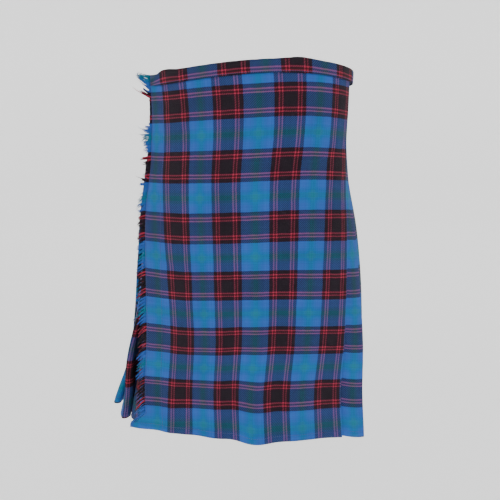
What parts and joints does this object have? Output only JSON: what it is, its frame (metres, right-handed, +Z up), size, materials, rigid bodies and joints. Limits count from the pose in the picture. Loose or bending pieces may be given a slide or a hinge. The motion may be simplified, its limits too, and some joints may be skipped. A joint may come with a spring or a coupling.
{
  "type": "scottish kilt",
  "caption": "Knee-length pleated wrap garment of checked wool with a folded waistband and a fringed front edge, filled out as when worn",
  "frame": {"origin": "the middle of the waist opening, level with the middle of the waistband at the hips", "axes": "+Z is up; the over apron faces -Y; +X is the wearer's left, and the fringed edge is on the -X side"},
  "size_m": [0.4958, 0.3783, 0.6674],
  "materials": {
    "blue_check_wool": "matte",
    "dark_check_wool": "matte",
    "frayed_yarn": "matte"
  },
  "bodies": {
    "root": {"over_apron": "blue_check_wool", "under_apron": "blue_check_wool", "pleats_left_hip": "blue_check_wool", "pleats_back": "blue_check_wool", "pleats_right_hip": "blue_check_wool", "waistband": "dark_check_wool", "fringe": "frayed_yarn"}
  },
  "joints": []
}
